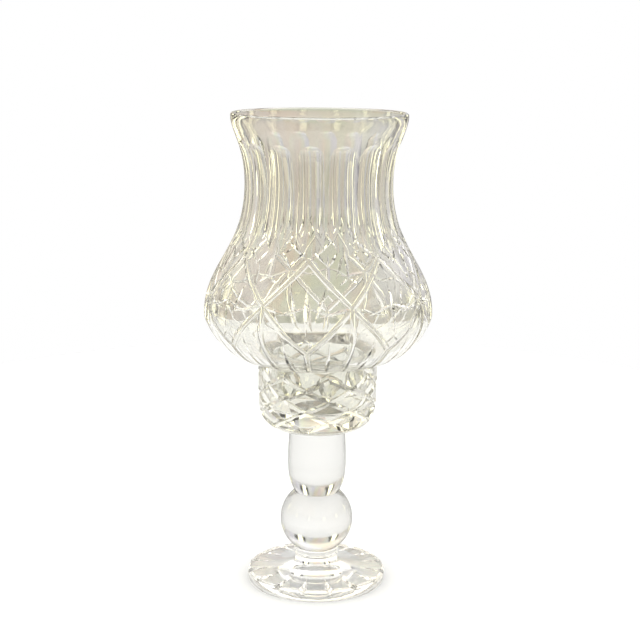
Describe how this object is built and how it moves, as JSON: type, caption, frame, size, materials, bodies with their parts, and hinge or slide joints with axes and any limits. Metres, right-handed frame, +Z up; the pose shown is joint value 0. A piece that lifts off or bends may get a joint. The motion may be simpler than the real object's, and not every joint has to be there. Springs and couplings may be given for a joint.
{
  "type": "hurricane candle holder",
  "caption": "Footed clear cut-glass candle holder with a loose flared and bulged glass shade that lifts off its candle cup.",
  "frame": {"origin": "centre of the foot's underside, on the surface that the holder stands on", "axes": "+Z up along the turning axis; +X to the right and -Y towards the viewer as in the reference view"},
  "size_m": [0.1334, 0.1334, 0.28],
  "materials": {
    "clear_glass": "polished clear crystal",
    "cup_glass": "polished cut crystal",
    "shade_glass": "polished cut crystal, faintly warm"
  },
  "bodies": {
    "holder": {"foot": "clear_glass", "ring_collar": "clear_glass", "ball_knop": "clear_glass", "barrel_knop": "clear_glass", "cup": "cup_glass"},
    "shade": {"shade": "shade_glass"}
  },
  "joints": [
    {"name": "shade_lift", "type": "slide", "parent": "holder", "child": "shade", "axis": [0, 0, 1], "range_m": [0, 0.045]}
  ]
}
